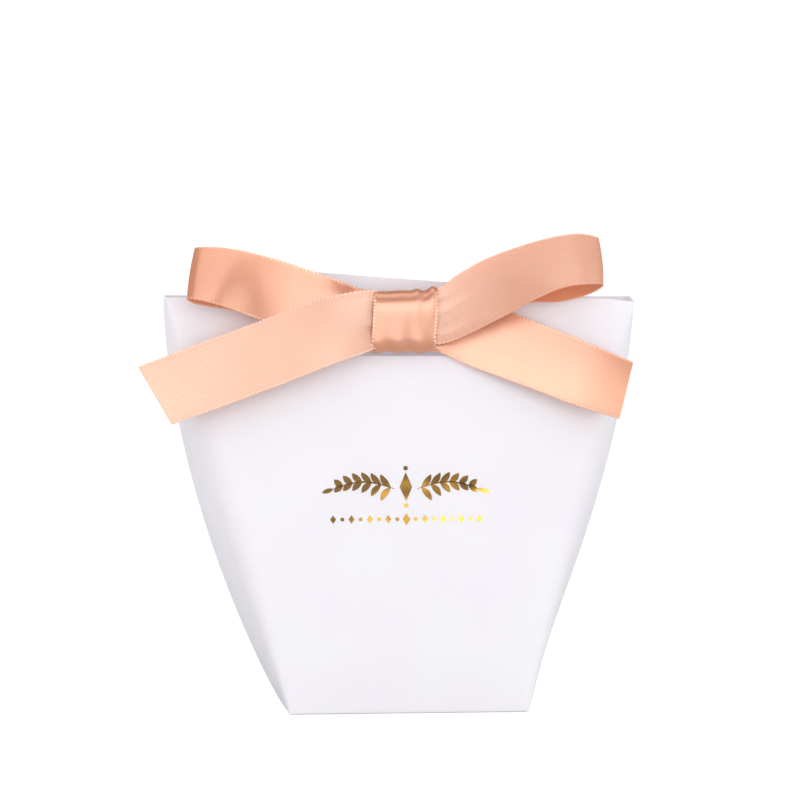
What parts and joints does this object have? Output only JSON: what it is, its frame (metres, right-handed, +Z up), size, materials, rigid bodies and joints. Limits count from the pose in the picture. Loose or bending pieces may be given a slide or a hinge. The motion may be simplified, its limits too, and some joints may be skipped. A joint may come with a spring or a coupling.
{
  "type": "paper gift bag",
  "caption": "Tapered gift bag of white folded board, square at the base and flat at the mouth, tied shut with a satin ribbon bow through a slot.",
  "frame": {"origin": "middle of the square base, on the surface that the bag stands on", "axes": "+Z up, -Y out of the large panel that carries the bow, +X to the right when that panel is seen from the front"},
  "size_m": [0.1431, 0.0676, 0.1331],
  "materials": {
    "paper": "matte",
    "satin": "satin",
    "foil": "polished"
  },
  "bodies": {
    "bag": {"base_panel": "paper", "left_dust_flap": "paper", "right_dust_flap": "paper", "tuck_flap": "paper", "front_panel": "paper", "back_panel": "paper", "glue_flap": "paper", "left_side_front": "paper", "left_side_back": "paper", "right_side_front": "paper", "right_side_back": "paper", "ribbon_wrap": "satin", "knot_band": "satin", "knot_core": "satin", "left_loop": "satin", "right_tail_root": "satin"},
    "tab": {"closing_tab": "paper"},
    "left_end": {"left_tail": "satin"},
    "right_bow": {"right_loop": "satin"},
    "right_end": {"right_tail": "satin"}
  },
  "joints": [
    {"name": "closing_tab_fold", "type": "hinge", "parent": "bag", "child": "tab", "pos_m": [0, 0.004, 0.1146], "axis": [1, 0, 0], "range_deg": [0, 80]},
    {"name": "left_tail_lift", "type": "hinge", "parent": "bag", "child": "left_end", "pos_m": [-0.0097, -0.01129, 0.10932], "axis": [0.0697, 0.2973, 0.9522], "range_deg": [0, 60]},
    {"name": "right_loop_lift", "type": "hinge", "parent": "bag", "child": "right_bow", "pos_m": [0.0097, -0.01025, 0.10957], "axis": [0.0349, -0.2977, -0.954], "range_deg": [0, 35]},
    {"name": "right_tail_lift", "type": "hinge", "parent": "bag", "child": "right_end", "pos_m": [0.034, -0.01071, 0.09988], "axis": [-0.3969, -0.3188, -0.8607], "range_deg": [0, 60]}
  ]
}
